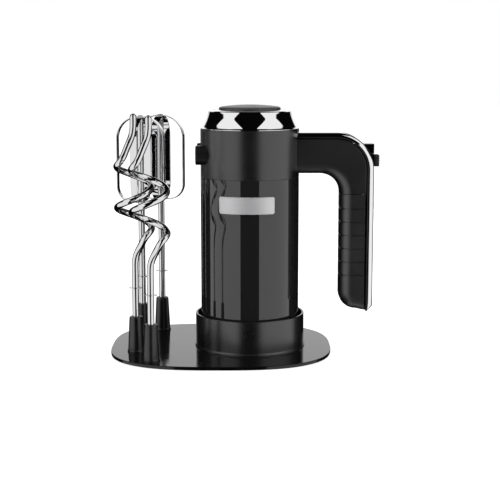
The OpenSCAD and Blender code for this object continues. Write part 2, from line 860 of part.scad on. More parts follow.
module outer_loop(place) {
    color([0.85, 0.85, 0.87]) at_peg(place, beater_turn) strip_loop(beater_low, beater_high);
}

module inner_loop(place) {
    color([0.85, 0.85, 0.87]) at_peg(place, beater_turn + 90)
        strip_loop(beater_low + strip_t, beater_high - strip_t);
}

module beater_left_shaft() { beater_shaft(back_left); }
module beater_left_outer_loop() { outer_loop(back_left); }
module beater_left_inner_loop() { inner_loop(back_left); }
module beater_right_shaft() { beater_shaft(back_right); }
module beater_right_outer_loop() { outer_loop(back_right); }
module beater_right_inner_loop() { inner_loop(back_right); }

// The hook: straight shank, a blend out to the coil, one and a half turns, a blend back, a tip
function blend_rise(z) = z < coil_low ? blend_low : blend_high;
function blend_at(z) = max(0, min(1, max(coil_low - z, z - coil_high) / blend_rise(z)));
function coil_radius(z) = hook_r * pow(1 - blend_at(z), 3) * (1 + 3 * blend_at(z));
function coil_angle(z) =
    let (swing = 360 / hook_pitch * blend_rise(z) * blend_at(z) * pow(1 - blend_at(z), 3))
    z < coil_low ? -swing : z > coil_high ? 180 + swing : 180 + 360 * (z - coil_high) / hook_pitch;
function hook_point(z) =
    let (r = coil_radius(z), a = coil_angle(z)) [r * cos(a), r * sin(a), z];

module hook_rod(place) {
    shoulder = hook_tip - rod_r;
    levels = concat(
        [shank_low, shank_low + 0.6, 50, 70],
        [for (k = [0:13]) coil_low - blend_low + blend_low * k / 14],
        [for (k = [0:35]) coil_low + (coil_high - coil_low) * k / 36],
        [for (k = [0:16]) coil_high + blend_high * k / 16],
        [shoulder, shoulder + rod_r * 0.5, shoulder + rod_r * 0.86, hook_tip]
    );
    n = len(levels);
    taper = [rod_r * 0.86, rod_r * 0.5, rod_r * 0.08];
    radii = [
        for (i = [0:n - 1]) i == 0 ? rod_r - 0.6 : i < n - 3 ? rod_r : taper[i - n + 3]
    ];
    color([0.85, 0.85, 0.87]) at_peg(place, 0)
        rod_along([for (z = levels) hook_point(z)], radii, 12);
}

module hook_washer(place) {
    color([0.85, 0.85, 0.87]) at_peg(place, 0) translate([0, 0, washer_z])
        tube(5.6, rod_r + 0.02, 0.8);
}

module hook_left_rod() { hook_rod(front_left); }
module hook_left_washer() { hook_washer(front_left); }
module hook_right_rod() { hook_rod(front_right); }
module hook_right_washer() { hook_washer(front_right); }

base_plate();
anti_slip_pad();
cradle_collar();
stand_screws();
peg_front_right();
peg_front_left();
peg_back_left();
peg_back_right();
bottom_cover();
lower_sleeve();
upper_housing();
nose_cap();
cap_disc();
badge_plate();
socket_collars();
handle_shell();
handle_spine();
handle_trim();
grip_sleeve();
switch_pod();
speed_switch();
control_board();
turbo_microswitch();
eject_spring();
turbo_spring();
cord_gland();
gearbox_housing();
gearbox_cover();
motor_stator();
field_coils();
lower_motor_bracket();
upper_motor_bracket();
brush_holders();
carbon_brushes();
motor_bearings();
housing_screws();
armature_shaft();
armature_core();
commutator();
cooling_fan();
worm();
worm_wheel_front();
worm_wheel_back();
drive_socket_front();
drive_socket_back();
speed_slider();
eject_button();
ejector_fork();
turbo_button();
beater_left_shaft();
beater_left_outer_loop();
beater_left_inner_loop();
beater_right_shaft();
beater_right_outer_loop();
beater_right_inner_loop();
hook_left_rod();
hook_left_washer();
hook_right_rod();
hook_right_washer();
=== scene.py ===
"""Looks for a hand mixer that stands nose-up in a stand with two beaters and two dough hooks.

Lengths are millimetres until a mesh is made; the mixer's own parts are drawn around its upright axis.
"""

import json
import math

import bmesh
import bpy
from mathutils import Matrix, Vector


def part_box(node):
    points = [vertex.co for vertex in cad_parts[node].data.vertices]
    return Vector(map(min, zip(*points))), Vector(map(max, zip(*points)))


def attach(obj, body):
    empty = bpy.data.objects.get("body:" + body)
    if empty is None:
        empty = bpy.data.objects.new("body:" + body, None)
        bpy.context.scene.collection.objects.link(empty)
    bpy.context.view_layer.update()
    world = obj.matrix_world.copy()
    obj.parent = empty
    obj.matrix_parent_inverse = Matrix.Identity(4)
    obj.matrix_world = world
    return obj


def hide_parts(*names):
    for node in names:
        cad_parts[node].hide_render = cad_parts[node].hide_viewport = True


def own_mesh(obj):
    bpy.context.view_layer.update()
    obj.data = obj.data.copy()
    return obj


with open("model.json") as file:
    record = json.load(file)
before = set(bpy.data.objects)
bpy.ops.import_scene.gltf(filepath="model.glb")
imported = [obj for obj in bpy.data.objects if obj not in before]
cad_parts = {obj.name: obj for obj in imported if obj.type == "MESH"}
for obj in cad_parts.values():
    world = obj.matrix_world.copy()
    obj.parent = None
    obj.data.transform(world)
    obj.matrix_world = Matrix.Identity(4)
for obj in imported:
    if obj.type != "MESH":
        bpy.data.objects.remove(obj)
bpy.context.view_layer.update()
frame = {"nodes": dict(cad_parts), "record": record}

MM = 0.001


def middle(node):
    """Middle of a CAD node's box, in millimetres."""
    low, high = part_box(node)
    return (low + high) / 2 / MM


# ---------- sizes ----------

AXIS_X = middle("nose_cap").x  # the mixer's upright axis
PLATE_X = middle("base_plate").x
PLATE_L, PLATE_W, PLATE_LOW, PLATE_TOP = 198, 172, 0.8, 3.6
CRADLE_R, CRADLE_INNER, CRADLE_TOP, CRADLE_FLOOR = 49, 47.2, 34, 6
PEG_TOP, PEG_FLOOR, PEG_FOOT_R, PEG_TIP_R = 35.5, 9.6, 7.9, 5.9
BODY_R, WALL = 44, 2.2
SLEEVE_LOW, SEAM, HOUSING_TOP = 8.6, 157.3, 200
SPINDLE_Z, SPINDLE_Y = 177.4, 17.5
COLLAR_R, COLLAR_BORE, COLLAR_OUT, COLLAR_ROOT = 8.5, 6.6, -47.8, -32.8
BADGE_START, BADGE_SWEEP, BADGE_LOW, BADGE_HIGH, BADGE_T = -126.3, 65, 128.1, 143, 0.9
NOSE_TOP, DISC_R, DISC_LOW, CROWN_R = 221, 27.5, 214.6, 196
HANDLE_BACK, HANDLE_FRONT, HANDLE_FOOT, HANDLE_HALF = 110.3, 80, 36.3, 14
ARM_TOP, ARM_BOTTOM, CORNER_R, FINGER_R = 196.7, 160.5, 33, 17.5
TRIM_ARM, TRIM_BACK, SPINE = 3.4, 4.9, 1.2
SHELL_TOP, SHELL_BACK = TRIM_ARM + SPINE, TRIM_BACK + SPINE
GRIP_TOP, GRIP_T, GRIP_BACK = 142.5, 2, 102.6
GROOVE_TOP, GROOVE_STEP, GROOVE_W, GROOVES = 130.05, 12, 1.1, 6
POD_W, POD_LOW, POD_SPLIT, POD_TOP = 15, 150, 178, 186.7
KNOB_LOW, KNOB_HIGH, KNOB_BACK = 166.4, 176.9, 115.5
TURBO_Z, TURBO_H = 127, 17.6
ROD_R, SHANK_LOW, WASHER_Z, WASHER_R = 3, 10, 61, 5.6
LOOP_LOW, LOOP_HIGH, LOOP_HALF, STRIP_W, STRIP_T = 130, 209.5, 22.7, 6.5, 1
BEATER_TURN = -12
HOOK_R, HOOK_PITCH, COIL_LOW, COIL_HIGH, HOOK_TIP = 14.8, 36, 114, 168, 214.5
BLEND_LOW, BLEND_HIGH = 34, 40

# ---------- shader node groups ----------


def new_group(name, inputs, outputs):
    """An empty shader group with named sockets; inputs are (name, type, value)."""
    group = bpy.data.node_groups.new(name, "ShaderNodeTree")
    for label, kind, value in inputs:
        socket = group.interface.new_socket(label, in_out="INPUT", socket_type=f"NodeSocket{kind}")
        if value is not None:
            socket.default_value = value
    for label, kind in outputs:
        group.interface.new_socket(label, in_out="OUTPUT", socket_type=f"NodeSocket{kind}")
    start = group.nodes.new("NodeGroupInput")
    end = group.nodes.new("NodeGroupOutput")
    return group, start, end


def node(tree, kind, **settings):
    """A node of a tree; settings whose names are sockets set those sockets, the rest are properties."""
    made = tree.nodes.new(kind)
    for key, value in settings.items():
        if hasattr(made, key):
            setattr(made, key, value)
        else:
            made.inputs[key.replace("_", " ")].default_value = value
    return made


def math_node(tree, operation, first, second=None, third=None, clamp=False):
    made = tree.nodes.new("ShaderNodeMath")
    made.operation = operation
    made.use_clamp = clamp
    for socket, value in zip(made.inputs, (first, second, third)):
        if value is None:
            continue
        if isinstance(value, (int, float)):
            socket.default_value = value
        else:
            tree.links.new(value, socket)
    return made.outputs[0]


def map_range(tree, value, low, high, to_low, to_high):
    made = tree.nodes.new("ShaderNodeMapRange")
    for index, part in enumerate((value, low, high, to_low, to_high)):
        if isinstance(part, (int, float)):
            made.inputs[index].default_value = part
        else:
            tree.links.new(part, made.inputs[index])
    return made.outputs[0]


def moulded_skin():
    """Fine spark-eroded grain of a moulded plastic or rubber, with slightly uneven gloss."""
    group, start, end = new_group(
        "Moulded skin",
        [
            ("Vector", "Vector", None),
            ("Grain Size", "Float", 0.0006),
            ("Roughness", "Float", 0.3),
            ("Unevenness", "Float", 0.05),
        ],
        [("Roughness", "Float"), ("Height", "Float"), ("Shade", "Float")],
    )
    link = group.links.new
    scale = math_node(group, "DIVIDE", 1, start.outputs["Grain Size"])
    fine = node(group, "ShaderNodeTexNoise", Detail=3, Roughness=0.6)
    link(start.outputs["Vector"], fine.inputs["Vector"])
    link(scale, fine.inputs["Scale"])
    broad = node(group, "ShaderNodeTexNoise", Scale=38, Detail=4, Roughness=0.55)
    link(start.outputs["Vector"], broad.inputs["Vector"])
    offset = map_range(group, broad.outputs["Fac"], 0.3, 0.7, -1, 1)
    spread = math_node(group, "MULTIPLY", offset, start.outputs["Unevenness"])
    rough = math_node(group, "ADD", spread, start.outputs["Roughness"], clamp=True)
    link(rough, end.inputs["Roughness"])
    link(fine.outputs["Fac"], end.inputs["Height"])
    link(map_range(group, broad.outputs["Fac"], 0.3, 0.7, 0, 1), end.inputs["Shade"])
    return group


def handling_marks():
    """Faint smudges and hairline scratches that a polished surface picks up in use."""
    group, start, end = new_group(
        "Handling marks",
        [
            ("Vector", "Vector", None),
            ("Roughness", "Float", 0.05),
            ("Smudge", "Float", 0.05),
            ("Scratch", "Float", 0.05),
        ],
        [("Roughness", "Float"), ("Height", "Float")],
    )
    link = group.links.new
    cloud = node(group, "ShaderNodeTexNoise", Scale=24, Detail=5, Roughness=0.62)
    link(start.outputs["Vector"], cloud.inputs["Vector"])
    smudge = map_range(group, cloud.outputs["Fac"], 0.5, 0.72, 0, 1)
    smudge = math_node(group, "MULTIPLY", smudge, start.outputs["Smudge"])
    stretch = node(group, "ShaderNodeMapping")
    stretch.inputs["Scale"].default_value = (900, 900, 45)
    stretch.inputs["Rotation"].default_value = (0.5, 0.3, 0.2)
    link(start.outputs["Vector"], stretch.inputs["Vector"])
    hair = node(group, "ShaderNodeTexNoise", Scale=1, Detail=2, Roughness=0.5)
    link(stretch.outputs["Vector"], hair.inputs["Vector"])
    scratch = map_range(group, hair.outputs["Fac"], 0.66, 0.74, 0, 1)
    lifted = math_node(group, "MULTIPLY", scratch, start.outputs["Scratch"])
    rough = math_node(group, "ADD", smudge, lifted)
    rough = math_node(group, "ADD", rough, start.outputs["Roughness"], clamp=True)
    link(rough, end.inputs["Roughness"])
    link(scratch, end.inputs["Height"])
    return group


def drawn_lines():
    """Close parallel lines left by brushing, grinding or drawing metal along one direction."""
    group, start, end = new_group(
        "Drawn lines",
        [
            ("Vector", "Vector", None),
            ("Along", "Vector", (60, 4000, 4000)),
            ("Roughness", "Float", 0.3),
            ("Spread", "Float", 0.15),
        ],
        [("Roughness", "Float"), ("Height", "Float"), ("Shade", "Float")],
    )
    link = group.links.new
    stretch = node(group, "ShaderNodeMapping")
    link(start.outputs["Vector"], stretch.inputs["Vector"])
    link(start.outputs["Along"], stretch.inputs["Scale"])
    lines = node(group, "ShaderNodeTexNoise", Scale=1, Detail=3, Roughness=0.6)
    link(stretch.outputs["Vector"], lines.inputs["Vector"])
    shade = map_range(group, lines.outputs["Fac"], 0.3, 0.7, 0, 1)
    offset = math_node(group, "MULTIPLY", shade, start.outputs["Spread"])
    link(math_node(group, "ADD", offset, start.outputs["Roughness"], clamp=True), end.inputs["Roughness"])
    link(lines.outputs["Fac"], end.inputs["Height"])
    link(shade, end.inputs["Shade"])
    return group


SKIN, MARKS, LINES = moulded_skin(), handling_marks(), drawn_lines()

# ---------- materials ----------


def start_material(name, effect, values, **constants):
    """A material whose roughness and bump come from one of the shared effects.

    `values` set the effect's sockets and `constants` the shader's own sockets.
    """
    material = bpy.data.materials.new(name)
    material.use_nodes = True
    tree = material.node_tree
    tree.nodes.clear()
    out = tree.nodes.new("ShaderNodeOutputMaterial")
    shader = tree.nodes.new("ShaderNodeBsdfPrincipled")
    place = tree.nodes.new("ShaderNodeTexCoord")
    group = tree.nodes.new("ShaderNodeGroup")
    group.node_tree = effect
    for key, value in values.items():
        group.inputs[key].default_value = value
    for key, value in constants.items():
        shader.inputs[key.replace("_", " ")].default_value = value
    tree.links.new(place.outputs["Object"], group.inputs["Vector"])
    tree.links.new(group.outputs["Roughness"], shader.inputs["Roughness"])
    tree.links.new(shader.outputs["BSDF"], out.inputs["Surface"])
    return material, tree, shader, group


def add_bump(tree, shader, height, strength, distance):
    bump = tree.nodes.new("ShaderNodeBump")
    bump.inputs["Strength"].default_value = strength
    bump.inputs["Distance"].default_value = distance
    tree.links.new(height, bump.inputs["Height"])
    tree.links.new(bump.outputs["Normal"], shader.inputs["Normal"])


def mix_colours(tree, factor, first, second):
    mix = tree.nodes.new("ShaderNodeMix")
    mix.data_type = "RGBA"
    mix.inputs["A"].default_value = (*first, 1)
    mix.inputs["B"].default_value = (*second, 1)
    tree.links.new(factor, mix.inputs["Factor"])
    return mix.outputs["Result"]


def moulded(name, dark, light, rough, grain, depth, uneven=0.04, **constants):
    """A moulded plastic or rubber that varies a little between two colours."""
    values = {"Grain Size": grain, "Roughness": rough, "Unevenness": uneven}
    material, tree, shader, group = start_material(name, SKIN, values, **constants)
    colour = mix_colours(tree, group.outputs["Shade"], dark, light)
    tree.links.new(colour, shader.inputs["Base Color"])
    add_bump(tree, shader, group.outputs["Height"], 0.35, depth)
    return material


def polished(name, colour, rough, smudge, scratch, depth=0.000004, **constants):
    """A polished surface, plastic or metal, with faint marks from handling."""
    values = {"Roughness": rough, "Smudge": smudge, "Scratch": scratch}
    material, tree, shader, group = start_material(
        name, MARKS, values, Base_Color=(*colour, 1), **constants
    )
    add_bump(tree, shader, group.outputs["Height"], 0.12, depth)
    return material


def drawn_metal(name, dark, light, rough, along, depth=0.00001, **constants):
    """A brushed, ground or drawn metal."""
    values = {"Along": along, "Roughness": rough}
    material, tree, shader, group = start_material(name, LINES, values, Metallic=1.0, **constants)
    colour = mix_colours(tree, group.outputs["Shade"], dark, light)
    tree.links.new(colour, shader.inputs["Base Color"])
    add_bump(tree, shader, group.outputs["Height"], 0.3, depth)
    return material


ACROSS = (4000, 4000, 60)  # lines that run up and down
AROUND = (60, 60, 5000)  # lines that run level
MATERIALS = {
    "stand_black": moulded(
        "Stand lacquer", (0.006, 0.006, 0.0063), (0.009, 0.009, 0.0094), 0.1, 0.0011, 0.000004, 0.03
    ),
    "pad_rubber": moulded(
        "Foot rubber", (0.022, 0.022, 0.023), (0.035, 0.035, 0.036), 0.75, 0.0009, 0.00006
    ),
    "collar_black": moulded(
        "Cradle plastic", (0.008, 0.008, 0.0083), (0.011, 0.011, 0.0114), 0.28, 0.0008, 0.000006,
        Specular_IOR_Level=1.0, Coat_Weight=0.4, Coat_Roughness=0.24,
    ),
    "peg_black": moulded(
        "Peg plastic", (0.008, 0.008, 0.0083), (0.011, 0.011, 0.0114), 0.32, 0.0008, 0.00001,
        Specular_IOR_Level=0.8,
    ),
    "sleeve_gloss": polished(
        "Sleeve lacquer", (0.028, 0.028, 0.029), 0.02, 0.02, 0.03,
        Coat_Weight=0.8, Coat_Roughness=0.01,
    ),
    "housing_satin": moulded(
        "Housing plastic", (0.009, 0.009, 0.0094), (0.012, 0.012, 0.0125), 0.3, 0.0006, 0.000006,
        Specular_IOR_Level=0.9, Coat_Weight=0.5, Coat_Roughness=0.26,
    ),
    "nose_chrome": polished(
        "Nose chrome", (0.9, 0.9, 0.91), 0.015, 0.02, 0.03, Metallic=1.0
    ),
    "disc_grey": moulded(
        "Disc plastic", (0.08, 0.08, 0.082), (0.1, 0.1, 0.102), 0.36, 0.0005, 0.00001
    ),
    "badge_silver": drawn_metal(
        "Badge metal", (0.9, 0.9, 0.91), (0.96, 0.96, 0.97), 0.55, AROUND
    ),
    "handle_black": moulded(
        "Handle plastic", (0.008, 0.008, 0.0083), (0.010, 0.010, 0.0104), 0.36, 0.0007, 0.00001,
        Specular_IOR_Level=1.0, Coat_Weight=0.6, Coat_Roughness=0.36,
    ),
    "grip_rubber": moulded(
        "Grip rubber", (0.007, 0.007, 0.0073), (0.010, 0.010, 0.0104), 0.4, 0.0005, 0.00001,
        Specular_IOR_Level=1.0, Coat_Weight=1.0, Coat_Roughness=0.36,
    ),
    "pod_gloss": polished("Pod lacquer", (0.003, 0.003, 0.0033), 0.04, 0.03, 0.03),
    "knob_grey": moulded(
        "Knob plastic", (0.04, 0.04, 0.041), (0.05, 0.05, 0.051), 0.4, 0.0004, 0.00002
    ),
    "screw_steel": drawn_metal("Machined steel", (0.5, 0.5, 0.52), (0.62, 0.62, 0.64), 0.22, AROUND),
    "polished_steel": polished(
        "Polished steel", (0.8, 0.8, 0.81), 0.03, 0.03, 0.04, Metallic=1.0
    ),
    "switch_grey": moulded(
        "Switch nylon", (0.1, 0.11, 0.13), (0.13, 0.14, 0.16), 0.45, 0.0006, 0.00003
    ),
    "circuit_green": moulded(
        "Board lacquer", (0.02, 0.11, 0.05), (0.03, 0.16, 0.08), 0.3, 0.0014, 0.00002
    ),
    "cast_alloy": moulded(
        "Cast alloy", (0.52, 0.53, 0.55), (0.62, 0.63, 0.65), 0.42, 0.0009, 0.00008, Metallic=1.0
    ),
    "lamination": drawn_metal("Laminated steel", (0.2, 0.2, 0.21), (0.38, 0.38, 0.4), 0.38, AROUND),
    "copper": drawn_metal("Enamelled copper", (0.5, 0.2, 0.07), (0.75, 0.36, 0.15), 0.25, ACROSS),
    "brass": drawn_metal("Pressed brass", (0.62, 0.45, 0.17), (0.76, 0.58, 0.25), 0.3, AROUND),
    "carbon": moulded("Carbon", (0.02, 0.02, 0.02), (0.035, 0.035, 0.035), 0.6, 0.0005, 0.00005),
    "fan_white": moulded("Fan nylon", (0.6, 0.6, 0.57), (0.7, 0.7, 0.67), 0.42, 0.0008, 0.00002),
    "gear_nylon": moulded("Gear nylon", (0.72, 0.68, 0.55), (0.82, 0.78, 0.66), 0.4, 0.0008, 0.00002),
}
SLOT_OF = {part["node"]: part["material_slot"] for part in frame["record"]["subparts"]}
BODY_OF = {
    name: body
    for body, names in frame["record"]["behaviour"]["bodies"].items()
    for name in names
}
for name, part in frame["nodes"].items():
    part.data.materials.clear()
    part.data.materials.append(MATERIALS[SLOT_OF[name]])

# ---------- outlines ----------


def arc(cx, cy, r, start, end, steps):
    """Points on an arc, in degrees."""
    return [
        (
            cx + r * math.cos(math.radians(start + (end - start) * k / steps)),
            cy + r * math.sin(math.radians(start + (end - start) * k / steps)),
        )
        for k in range(steps + 1)
    ]


def filleted(corners, steps=4):
    """A closed outline of (a, b) or (a, b, radius) corners with the corners rounded."""
    points = []
    count = len(corners)
    for i, corner in enumerate(corners):
        here = Vector(corner[:2])
        radius = corner[2] if len(corner) > 2 else 0
        to_last = Vector(corners[i - 1][:2]) - here
        to_next = Vector(corners[(i + 1) % count][:2]) - here
        if radius <= 0:
            points.append(tuple(here))
            continue
        half = to_last.angle(to_next) / 2
        reach = min(radius / math.tan(half), to_last.length * 0.49, to_next.length * 0.49)
        radius = reach * math.tan(half)
        centre = here + (to_last.normalized() + to_next.normalized()).normalized() * (
            radius / math.sin(half)
        )
        first = here + to_last.normalized() * reach - centre
        last = here + to_next.normalized() * reach - centre
        swing = first.angle_signed(last)
        for k in range(steps + 1):
            turn = -swing * k / steps
            c, s = math.cos(turn), math.sin(turn)
            points.append((centre.x + first.x * c - first.y * s, centre.y + first.x * s + first.y * c))
    return points


# ---------- mesh building ----------


def make_object(name, points, faces):
    """A mesh from millimetre points, joined, closed and with its faces outwards."""
    mesh = bpy.data.meshes.new(name)
    mesh.from_pydata([Vector(p) * MM for p in points], [], faces)
    shape = bmesh.new()
    shape.from_mesh(mesh)
    bmesh.ops.remove_doubles(shape, verts=shape.verts, dist=1e-6)
    bmesh.ops.recalc_face_normals(shape, faces=shape.faces)
    shape.to_mesh(mesh)
    shape.free()
    thing = bpy.data.objects.new(name, mesh)
    bpy.context.scene.collection.objects.link(thing)
    return thing


def joined(name, things):
    """Several mesh objects as one."""
    shape = bmesh.new()
    for thing in things:
        shape.from_mesh(thing.data)
        bpy.data.objects.remove(thing)
    mesh = bpy.data.meshes.new(name)
    shape.to_mesh(mesh)
    shape.free()
    made = bpy.data.objects.new(name, mesh)
    bpy.context.scene.collection.objects.link(made)
    return made


def bake(thing):
    """Turns what the modifiers make into the object's plain mesh."""
    bpy.context.view_layer.update()
    depsgraph = bpy.context.evaluated_depsgraph_get()
    mesh = bpy.data.meshes.new_from_object(thing.evaluated_get(depsgraph))
    thing.modifiers.clear()
    thing.data = mesh
    return thing


def cut(thing, *cutters):
    """Cuts other objects out of an object, and removes them."""
    for cutter in cutters:
        step = thing.modifiers.new("cut", "BOOLEAN")
        step.object = cutter
        step.operation = "DIFFERENCE"
        step.solver = "EXACT"
        bake(thing)
    for cutter in cutters:
        bpy.data.objects.remove(cutter)
    return thing


def bevelled(thing, width, segments=2, angle=40):
    step = thing.modifiers.new("edges", "BEVEL")
    step.width = width * MM
    step.segments = segments
    step.limit_method = "ANGLE"
    step.angle_limit = math.radians(angle)
    step.harden_normals = False
    return bake(thing)


def finish(thing, nodes, sharp=32):
    """Shades a piece, gives it the finish of the CAD nodes it stands for and lets it ride with them."""
    slot = SLOT_OF[nodes[0]]
    mesh = thing.data
    mesh.materials.clear()
    mesh.materials.append(MATERIALS[slot])
    mesh.shade_smooth()
    mesh.set_sharp_from_angle(angle=math.radians(sharp))
    weights = thing.modifiers.new("even shading", "WEIGHTED_NORMAL")
    weights.keep_sharp = True
    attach(thing, BODY_OF[nodes[0]])
    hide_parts(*nodes)
    return thing


def loft(rings, close_ends=True):
    """Points and faces of a skin over rings that have the same number of points."""
    count = len(rings[0])
    points = [p for ring in rings for p in ring]
    faces = []
    for j in range(len(rings) - 1):
        for i in range(count):
            n = (i + 1) % count
            faces.append((j * count + i, (j + 1) * count + i, (j + 1) * count + n, j * count + n))
    if close_ends:
        faces.append(tuple(range(count)))
        faces.append(tuple(reversed(range((len(rings) - 1) * count, len(rings) * count))))
    return points, faces


def turned(name, profile, place, steps=160, along="Z"):
    """A part turned on a lathe. The profile is a closed outline of (radius, height)."""
    points, faces, rows = [], [], []
    for r, z in profile:
        if r < 1e-6:
            rows.append([len(points)])
            points.append((0, 0, z))
            continue
        rows.append(list(range(len(points), len(points) + steps)))
        for k in range(steps):
            a = math.tau * k / steps
            points.append((r * math.cos(a), r * math.sin(a), z))
    for j, row in enumerate(rows):
        after = rows[(j + 1) % len(rows)]
        if len(row) == 1 and len(after) == 1:
            continue
        for k in range(steps):
            n = (k + 1) % steps
            corners = [row[k % len(row)], row[n % len(row)], after[n % len(after)], after[k % len(after)]]
            faces.append(tuple(dict.fromkeys(corners)))
    matrix = Matrix.Translation(Vector(place))
    if along == "X":
        matrix = matrix @ Matrix.Rotation(math.pi / 2, 4, "Y")
    return make_object(name, [matrix @ Vector(p) for p in points], faces)


def box(name, low, high):
    """A plain block, for cutting and for bevelling; x is measured from the mixer's axis."""
    (x0, y0, z0), (x1, y1, z1) = low, high
    corners = [(x, y, z) for x in (x0, x1) for y in (y0, y1) for z in (z0, z1)]
    faces = [(0, 1, 3, 2), (4, 6, 7, 5), (0, 4, 5, 1), (2, 3, 7, 6), (0, 2, 6, 4), (1, 5, 7, 3)]
    return make_object(name, [(x + AXIS_X, y, z) for x, y, z in corners], faces)


# ---------- geometry node trees ----------


def new_tree(name, inputs):
    """A geometry tree with a Geometry input and output and named inputs (name, type, value)."""
    tree = bpy.data.node_groups.new(name, "GeometryNodeTree")
    tree.interface.new_socket("Geometry", in_out="INPUT", socket_type="NodeSocketGeometry")
    for label, kind, value in inputs:
        socket = tree.interface.new_socket(label, in_out="INPUT", socket_type=f"NodeSocket{kind}")
        if value is not None:
            socket.default_value = value
    tree.interface.new_socket("Geometry", in_out="OUTPUT", socket_type="NodeSocketGeometry")
    return tree, tree.nodes.new("NodeGroupInput"), tree.nodes.new("NodeGroupOutput")


def finish_tree(tree, start, end, geometry):
    """Ends a tree with Realize Instances and Set Material."""
    real = tree.nodes.new("GeometryNodeRealizeInstances")
    paint = tree.nodes.new("GeometryNodeSetMaterial")
    tree.links.new(geometry, real.inputs["Geometry"])
    tree.links.new(real.outputs["Geometry"], paint.inputs["Geometry"])
    tree.links.new(start.outputs["Finish"], paint.inputs["Material"])
    tree.links.new(paint.outputs["Geometry"], end.inputs["Geometry"])
    return tree


def rod_tree():
    """A round rod along a line of edges; each point's `thickness` scales it."""
    tree, start, end = new_tree(
        "Rod along a path",
        [("Rod Radius", "Float", 0.003), ("Sides", "Int", 32), ("Finish", "Material", None)],
    )
    link = tree.links.new
    curve = tree.nodes.new("GeometryNodeMeshToCurve")
    link(start.outputs["Geometry"], curve.inputs["Mesh"])
    taper = tree.nodes.new("GeometryNodeInputNamedAttribute")
    taper.data_type = "FLOAT"
    taper.inputs["Name"].default_value = "thickness"
    radius = tree.nodes.new("GeometryNodeSetCurveRadius")
    link(curve.outputs["Curve"], radius.inputs["Curve"])
    link(taper.outputs["Attribute"], radius.inputs["Radius"])
    section = tree.nodes.new("GeometryNodeCurvePrimitiveCircle")
    link(start.outputs["Rod Radius"], section.inputs["Radius"])
    link(start.outputs["Sides"], section.inputs["Resolution"])
    sweep = tree.nodes.new("GeometryNodeCurveToMesh")
    sweep.inputs["Fill Caps"].default_value = True
    link(radius.outputs["Curve"], sweep.inputs["Curve"])
    link(section.outputs["Curve"], sweep.inputs["Profile Curve"])
    link(taper.outputs["Attribute"], sweep.inputs["Scale"])
    return finish_tree(tree, start, end, sweep.outputs["Mesh"])


def strip_tree():
    """A flat strip with eased edges that follows a closed loop lying level."""
    tree, start, end = new_tree(
        "Strip round a loop",
        [
            ("Strip Width", "Float", 0.0065),
            ("Strip Thickness", "Float", 0.001),
            ("Edge Radius", "Float", 0.0003),
            ("Finish", "Material", None),
        ],
    )
    link = tree.links.new
    curve = tree.nodes.new("GeometryNodeMeshToCurve")
    link(start.outputs["Geometry"], curve.inputs["Mesh"])
    upright = tree.nodes.new("GeometryNodeSetCurveNormal")
    upright.mode = "Z_UP"
    link(curve.outputs["Curve"], upright.inputs["Curve"])
    section = tree.nodes.new("GeometryNodeCurvePrimitiveQuadrilateral")
    link(start.outputs["Strip Thickness"], section.inputs["Width"])
    link(start.outputs["Strip Width"], section.inputs["Height"])
    eased = tree.nodes.new("GeometryNodeFilletCurve")
    eased.mode = "POLY"
    eased.inputs["Count"].default_value = 3
    link(section.outputs["Curve"], eased.inputs["Curve"])
    link(start.outputs["Edge Radius"], eased.inputs["Radius"])
    sweep = tree.nodes.new("GeometryNodeCurveToMesh")
    link(upright.outputs["Curve"], sweep.inputs["Curve"])
    link(eased.outputs["Curve"], sweep.inputs["Profile Curve"])
    return finish_tree(tree, start, end, sweep.outputs["Mesh"])


def row_tree():
    """Copies of the input shape in a straight row."""
    tree, start, end = new_tree(
        "Shapes in a row",
        [("Count", "Int", 6), ("Step", "Vector", (0, 0, 0.01)), ("Finish", "Material", None)],
    )
    link = tree.links.new
    line = tree.nodes.new("GeometryNodeMeshLine")
    line.mode = "OFFSET"
    link(start.outputs["Count"], line.inputs["Count"])
    link(start.outputs["Step"], line.inputs["Offset"])
    copies = tree.nodes.new("GeometryNodeInstanceOnPoints")
    link(line.outputs["Mesh"], copies.inputs["Points"])
    link(start.outputs["Geometry"], copies.inputs["Instance"])
    return finish_tree(tree, start, end, copies.outputs["Instances"])


ROD, STRIP, ROW = rod_tree(), strip_tree(), row_tree()


def grown(thing, tree, **values):
    """Runs a geometry tree on an object and keeps the result as its plain mesh."""
    step = thing.modifiers.new("grow", "NODES")
    step.node_group = tree
    names = {item.name: item.identifier for item in tree.interface.items_tree if item.in_out == "INPUT"}
    for key, value in values.items():
        step[names[key.replace("_", " ")]] = value
    return bake(thing)


# ---------- stand ----------


def plate_outline(inset, z, count=256):
    ring = []
    for k in range(count):
        a = math.tau * k / count
        c, s = math.cos(a), math.sin(a)
        power = 2 / 2.9 if c < 0 else 2 / 2.8
        x = math.copysign(abs(c) ** power, c) * (PLATE_L / 2 - inset)
        y = math.copysign(abs(s) ** power, s) * (PLATE_W / 2 - inset)
        ring.append((PLATE_X + x, y, z))
    return ring


def base_plate():
    ease = 0.7
    rings = [plate_outline(inset, PLATE_LOW + up) for inset, up in ((0.4, 0), (0.1, 0.12), (0, 0.4))]
    for k in range(7):
        a = math.pi / 2 * k / 6
        rings.append(plate_outline(ease * (1 - math.cos(a)), PLATE_TOP - ease + ease * math.sin(a)))
    for inset in (1.1, 4, 12):
        rings.append(plate_outline(inset, PLATE_TOP))
    finish(make_object("stand_plate", *loft(rings)), ["base_plate"])


